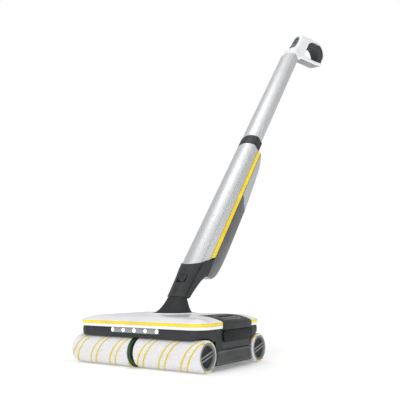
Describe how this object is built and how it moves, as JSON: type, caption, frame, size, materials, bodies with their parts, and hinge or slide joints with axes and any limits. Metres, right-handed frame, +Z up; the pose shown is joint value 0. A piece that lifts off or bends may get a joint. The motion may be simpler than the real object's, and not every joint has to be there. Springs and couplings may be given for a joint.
{
  "type": "wet dry floor scrubber",
  "caption": "Cordless upright floor scrubber: a low four-roller head with a side tank, a jointed stick with a clean water tank, and a loop handle.",
  "frame": {"origin": "on the floor, under the middle of the whole machine's bounding box, with the handle leaning back 38 degrees", "axes": "+X to the machine's right, where the dirty water tank is; -Y to its front; +Z up"},
  "size_m": [0.3002, 0.9066, 0.915],
  "materials": {
    "white_abs": "gloss",
    "yellow_trim": "satin",
    "dark_abs": "satin",
    "grey_skirt": "matte",
    "silver_aluminium": "satin",
    "silver_paint": "satin",
    "boot_rubber": "matte",
    "grip_rubber": "matte",
    "wiper_rubber": "matte",
    "button_rubber": "matte",
    "badge_black": "matte",
    "microfibre": "matte",
    "roller_core": "matte",
    "end_cap": "satin",
    "steel": "satin",
    "gear_acetal": "satin",
    "cast_aluminium": "satin",
    "smoked_tank": "gloss",
    "gloss_window": "gloss",
    "lens": "gloss",
    "circuit_board": "matte",
    "battery_cells": "satin",
    "latch_grey": "satin",
    "cap_black": "matte",
    "control_grey": "matte"
  },
  "bodies": {
    "head": {"chassis_tray": "dark_abs", "base_plate": "steel", "front_bumper": "dark_abs", "rear_bumper": "dark_abs", "top_cover": "white_abs", "cover_stripe": "yellow_trim", "left_side_panel": "dark_abs", "right_side_panel": "dark_abs", "left_skirt": "grey_skirt", "right_skirt": "grey_skirt", "led_lens": "lens", "gearbox_case": "cast_aluminium", "gearbox_cover": "cast_aluminium", "drive_motor": "steel", "battery_pack": "battery_cells", "control_board": "circuit_board", "front_wiper": "wiper_rubber", "rear_wiper": "wiper_rubber", "joint_bracket": "cast_aluminium", "joint_boot": "boot_rubber"},
    "front_rollers": {"front_drive_shaft": "steel", "front_left_core": "roller_core", "front_left_sleeve": "microfibre", "front_left_cap": "end_cap", "front_right_core": "roller_core", "front_right_sleeve": "microfibre", "front_right_cap": "end_cap"},
    "rear_rollers": {"rear_drive_shaft": "steel", "rear_left_core": "roller_core", "rear_left_sleeve": "microfibre", "rear_left_cap": "end_cap", "rear_right_core": "roller_core", "rear_right_sleeve": "microfibre", "rear_right_cap": "end_cap"},
    "idler_1": {"idler_gear_1": "gear_acetal"},
    "idler_2": {"idler_gear_2": "gear_acetal"},
    "idler_3": {"idler_gear_3": "gear_acetal"},
    "idler_4": {"idler_gear_4": "gear_acetal"},
    "motor_rotor": {"motor_pinion": "steel"},
    "dirty_tank": {"dirty_tank_tray": "smoked_tank", "dirty_tank_window": "gloss_window", "tank_bridge": "dark_abs"},
    "dirty_tank_catch": {"tank_latch": "latch_grey"},
    "joint_cross": {"cross_yoke": "cast_aluminium", "lean_axle": "steel"},
    "stick": {"steer_pin": "steel", "neck_housing": "dark_abs", "badge_inlay": "badge_black", "body_shell": "silver_aluminium", "spine_plate": "yellow_trim", "collar": "dark_abs", "upper_tube": "silver_aluminium", "handle_shell": "white_abs", "handle_grip": "grip_rubber", "control_strip": "control_grey"},
    "clean_tank": {"water_tank": "smoked_tank", "tank_upper_cover": "silver_paint"},
    "clean_tank_cap": {"filler_cap": "cap_black"},
    "power": {"power_button": "button_rubber"},
    "boost": {"boost_button": "button_rubber"}
  },
  "joints": [
    {"name": "lean_hinge", "type": "hinge", "parent": "head", "child": "joint_cross", "pos_m": [0, -0.34229, 0.079], "axis": [1, 0, 0], "range_deg": [-15, 33], "deforming": ["joint_boot"]},
    {"name": "steer_hinge", "type": "hinge", "parent": "joint_cross", "child": "stick", "pos_m": [0, -0.32505, 0.10106], "axis": [0, 0.788, -0.6157], "range_deg": [-24, 24]},
    {"name": "front_roller_spin", "type": "hinge", "parent": "head", "child": "front_rollers", "pos_m": [0, -0.42629, 0.027], "axis": [1, 0, 0], "continuous": true},
    {"name": "rear_roller_spin", "type": "hinge", "parent": "head", "child": "rear_rollers", "pos_m": [0, -0.25429, 0.027], "axis": [1, 0, 0], "continuous": true},
    {"name": "idler_1_spin", "type": "hinge", "parent": "head", "child": "idler_1", "pos_m": [0, -0.39204, 0.03121], "axis": [1, 0, 0], "continuous": true},
    {"name": "idler_2_spin", "type": "hinge", "parent": "head", "child": "idler_2", "pos_m": [0, -0.35754, 0.03121], "axis": [1, 0, 0], "continuous": true},
    {"name": "idler_3_spin", "type": "hinge", "parent": "head", "child": "idler_3", "pos_m": [0, -0.32304, 0.03121], "axis": [1, 0, 0], "continuous": true},
    {"name": "idler_4_spin", "type": "hinge", "parent": "head", "child": "idler_4", "pos_m": [0, -0.28853, 0.03121], "axis": [1, 0, 0], "continuous": true},
    {"name": "motor_spin", "type": "hinge", "parent": "head", "child": "motor_rotor", "pos_m": [0, -0.3503, 0.05645], "axis": [1, 0, 0], "continuous": true},
    {"name": "dirty_tank_slide", "type": "slide", "parent": "head", "child": "dirty_tank", "axis": [1, 0, 0], "range_m": [0, 0.13]},
    {"name": "dirty_tank_catch_press", "type": "slide", "parent": "dirty_tank", "child": "dirty_tank_catch", "axis": [0, 0, -1], "range_m": [0, 0.0015], "stiffness_N_per_m": 900},
    {"name": "clean_tank_lift", "type": "slide", "parent": "stick", "child": "clean_tank", "axis": [0, 0.6157, 0.788], "range_m": [0, 0.08]},
    {"name": "filler_cap_turn", "type": "hinge", "parent": "clean_tank", "child": "clean_tank_cap", "pos_m": [0, -0.02904, 0.38248], "axis": [0, 0.788, -0.6157], "range_deg": [0, 90]},
    {"name": "power_press", "type": "slide", "parent": "stick", "child": "power", "axis": [0, 0.7575, -0.6528], "range_m": [0, 0.0012], "stiffness_N_per_m": 600},
    {"name": "boost_press", "type": "slide", "parent": "stick", "child": "boost", "axis": [0, 0.7575, -0.6528], "range_m": [0, 0.0012], "stiffness_N_per_m": 600}
  ],
  "couplings": [
    {"joint": "rear_roller_spin", "follows": "front_roller_spin", "ratio": -1},
    {"joint": "idler_1_spin", "follows": "front_roller_spin", "ratio": -1},
    {"joint": "idler_2_spin", "follows": "front_roller_spin", "ratio": 1},
    {"joint": "idler_3_spin", "follows": "front_roller_spin", "ratio": -1},
    {"joint": "idler_4_spin", "follows": "front_roller_spin", "ratio": 1},
    {"joint": "motor_spin", "follows": "front_roller_spin", "ratio": -1.9167}
  ]
}
